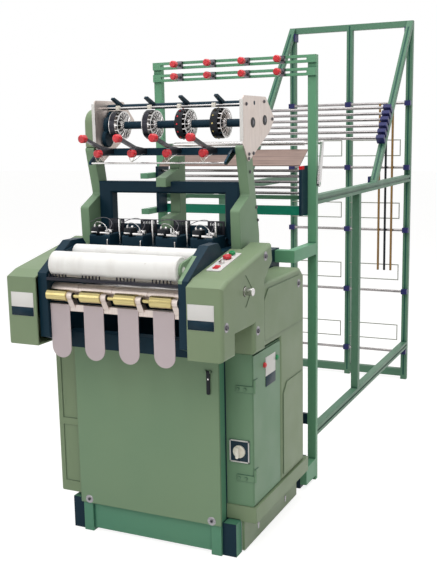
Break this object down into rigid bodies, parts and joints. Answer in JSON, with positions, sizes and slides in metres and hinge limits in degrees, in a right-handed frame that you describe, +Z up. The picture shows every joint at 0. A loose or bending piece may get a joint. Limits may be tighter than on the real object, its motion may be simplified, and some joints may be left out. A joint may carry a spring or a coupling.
{
  "type": "narrow fabric needle loom",
  "caption": "Tape and webbing needle loom with weaving heads in a row, upper feed wheels on cranked arms, a warp stand and an open yarn creel frame behind.",
  "frame": {"origin": "on the floor, under the middle of the whole machine", "axes": "+X to the operator's right, +Y from the loom's front to the creel, +Z up"},
  "size_m": [0.908, 2.917, 2.21],
  "materials": {
    "sage_paint": "satin sage green machine enamel",
    "frame_paint": "satin green frame enamel",
    "pale_paint": "satin pale green enamel",
    "navy_casting": "navy painted casting",
    "clamp_blue": "dark blue enamel",
    "plate_steel": "brushed",
    "bright_steel": "polished",
    "shaft_steel": "ground",
    "roller_white": "smooth covering",
    "brass_roll": "turned",
    "chute_steel": "satin grey",
    "warp_sheet": "satin bronze grey",
    "red_plastic": "glossy",
    "green_plastic": "glossy",
    "black_plastic": "moulded",
    "white_plastic": "glossy",
    "belt_rubber": "matt",
    "motor_paint": "satin grey enamel"
  },
  "bodies": {
    "frame": {"side_frames": "navy_casting", "front_plinth": "frame_paint", "rear_panel": "sage_paint", "front_panel": "sage_paint", "cover_bolts": "shaft_steel", "left_head_cover": "sage_paint", "right_head_cover": "sage_paint", "left_side_cover": "sage_paint", "right_rear_cover": "sage_paint", "right_skirt": "sage_paint", "electric_box": "sage_paint", "control_plate": "plate_steel", "cross_beams": "navy_casting", "nip_brackets": "shaft_steel", "chutes": "chute_steel", "comb_bar": "shaft_steel", "roller_brackets": "pale_paint", "drive_motor": "motor_paint", "drive_belt": "belt_rubber", "weaving_heads": "navy_casting", "harness_frame": "navy_casting", "arms": "sage_paint", "drive_casing": "sage_paint", "bearing_plates": "plate_steel", "belt_case": "navy_casting", "guide_rods": "bright_steel", "front_bar": "navy_casting", "tension_brackets": "shaft_steel", "red_caps": "red_plastic", "warp_frame": "frame_paint", "warp_end_plates": "navy_casting", "warp_bars": "bright_steel", "warp_plate": "warp_sheet", "creel_frame": "frame_paint", "creel_clamps": "clamp_blue", "creel_bars": "bright_steel", "creel_wires": "shaft_steel"},
    "latch": {"panel_latch": "black_plastic"},
    "door": {"electric_door": "sage_paint"},
    "main_switch": {"switch_knob": "white_plastic"},
    "rocker": {"rocker_switch": "black_plastic"},
    "selector": {"selector_knob": "bright_steel"},
    "stop": {"stop_button": "red_plastic"},
    "start": {"start_button": "green_plastic"},
    "take_up": {"take_up_roller": "roller_white"},
    "guide": {"guide_roller": "shaft_steel"},
    "draw": {"draw_roll": "shaft_steel"},
    "nip": {"nip_rollers": "brass_roll"},
    "shaft": {"main_shaft": "shaft_steel"},
    "motor": {"motor_pulley": "shaft_steel"},
    "needle_1": {"weft_needle_1": "bright_steel"},
    "needle_2": {"weft_needle_2": "bright_steel"},
    "needle_3": {"weft_needle_3": "bright_steel"},
    "needle_4": {"weft_needle_4": "bright_steel"},
    "batten": {"reed_batten": "shaft_steel"},
    "feed": {"feed_shaft": "navy_casting", "feed_wheels": "bright_steel"},
    "levers": {"lever_tube": "shaft_steel"},
    "bail": {"stop_bail": "bright_steel"},
    "swing": {"swing_roll": "bright_steel"}
  },
  "joints": [
    {"name": "latch_lift", "type": "hinge", "parent": "frame", "child": "latch", "pos_m": [0.269, -1.2295, 0.7185], "axis": [-1, 0, 0], "range_deg": [0, 40]},
    {"name": "door_swing", "type": "hinge", "parent": "frame", "child": "door", "pos_m": [0.421, -1.157, 0.48], "axis": [0, 0, -1], "range_deg": [0, 110]},
    {"name": "main_switch_turn", "type": "hinge", "parent": "frame", "child": "main_switch", "pos_m": [0.358, -1.1655, 0.403], "axis": [0, -1, 0], "range_deg": [0, 90]},
    {"name": "rocker_tilt", "type": "hinge", "parent": "frame", "child": "rocker", "pos_m": [0.345, -1.30178, 1.11348], "axis": [1, 0, 0], "range_deg": [-10, 10]},
    {"name": "selector_turn", "type": "hinge", "parent": "frame", "child": "selector", "pos_m": [0.345, -1.25807, 1.12342], "axis": [0, -0.1889, 0.982], "range_deg": [0, 90]},
    {"name": "stop_press", "type": "slide", "parent": "frame", "child": "stop", "axis": [0, 0.1889, -0.982], "range_m": [0, 0.004], "stiffness_N_per_m": 400, "springref_m": -0.003},
    {"name": "start_press", "type": "slide", "parent": "frame", "child": "start", "axis": [0, 0.1889, -0.982], "range_m": [0, 0.004], "stiffness_N_per_m": 400, "springref_m": -0.003},
    {"name": "take_up_spin", "type": "hinge", "parent": "frame", "child": "take_up", "pos_m": [0, -1.3955, 1.115], "axis": [1, 0, 0], "continuous": true},
    {"name": "guide_spin", "type": "hinge", "parent": "frame", "child": "guide", "pos_m": [0, -1.2555, 1.14], "axis": [1, 0, 0], "continuous": true},
    {"name": "draw_spin", "type": "hinge", "parent": "frame", "child": "draw", "pos_m": [0, -1.3915, 1.02], "axis": [1, 0, 0], "continuous": true},
    {"name": "nip_spin", "type": "hinge", "parent": "frame", "child": "nip", "pos_m": [0, -1.4365, 1.008], "axis": [1, 0, 0], "continuous": true},
    {"name": "main_shaft_spin", "type": "hinge", "parent": "frame", "child": "shaft", "pos_m": [0, -1.2645, 1.03], "axis": [1, 0, 0], "continuous": true},
    {"name": "motor_spin", "type": "hinge", "parent": "frame", "child": "motor", "pos_m": [0.23, -0.9155, 0.33], "axis": [1, 0, 0], "continuous": true},
    {"name": "needle_1_swing", "type": "hinge", "parent": "frame", "child": "needle_1", "pos_m": [-0.2515, -1.0855, 1.1968], "axis": [0, 0, 1], "range_deg": [0, 30]},
    {"name": "needle_2_swing", "type": "hinge", "parent": "frame", "child": "needle_2", "pos_m": [-0.1065, -1.0855, 1.1968], "axis": [0, 0, 1], "range_deg": [0, 30]},
    {"name": "needle_3_swing", "type": "hinge", "parent": "frame", "child": "needle_3", "pos_m": [0.0385, -1.0855, 1.1968], "axis": [0, 0, 1], "range_deg": [0, 30]},
    {"name": "needle_4_swing", "type": "hinge", "parent": "frame", "child": "needle_4", "pos_m": [0.1835, -1.0855, 1.1968], "axis": [0, 0, 1], "range_deg": [0, 30]},
    {"name": "batten_rock", "type": "hinge", "parent": "frame", "child": "batten", "pos_m": [0, -1.0255, 1.172], "axis": [1, 0, 0], "range_deg": [-8, 8]},
    {"name": "feed_spin", "type": "hinge", "parent": "frame", "child": "feed", "pos_m": [0, -0.9655, 1.606], "axis": [1, 0, 0], "continuous": true},
    {"name": "lever_lift", "type": "hinge", "parent": "frame", "child": "levers", "pos_m": [0, -0.9505, 1.677], "axis": [-1, 0, 0], "range_deg": [0, 25]},
    {"name": "bail_lift", "type": "hinge", "parent": "frame", "child": "bail", "pos_m": [0, -1.0155, 1.504], "axis": [-1, 0, 0], "range_deg": [0, 10]},
    {"name": "swing_roll_swing", "type": "hinge", "parent": "frame", "child": "swing", "pos_m": [0, -0.3575, 1.348], "axis": [-1, 0, 0], "range_deg": [-3, 15], "stiffness_Nm_per_rad": 150}
  ],
  "couplings": [
    {"joint": "guide_spin", "follows": "take_up_spin", "ratio": -1.5333},
    {"joint": "draw_spin", "follows": "take_up_spin", "ratio": -1.84},
    {"joint": "nip_spin", "follows": "take_up_spin", "ratio": 2.1905},
    {"joint": "motor_spin", "follows": "main_shaft_spin", "ratio": 1.7143},
    {"joint": "needle_2_swing", "follows": "needle_1_swing", "ratio": 1},
    {"joint": "needle_3_swing", "follows": "needle_1_swing", "ratio": 1},
    {"joint": "needle_4_swing", "follows": "needle_1_swing", "ratio": 1}
  ]
}
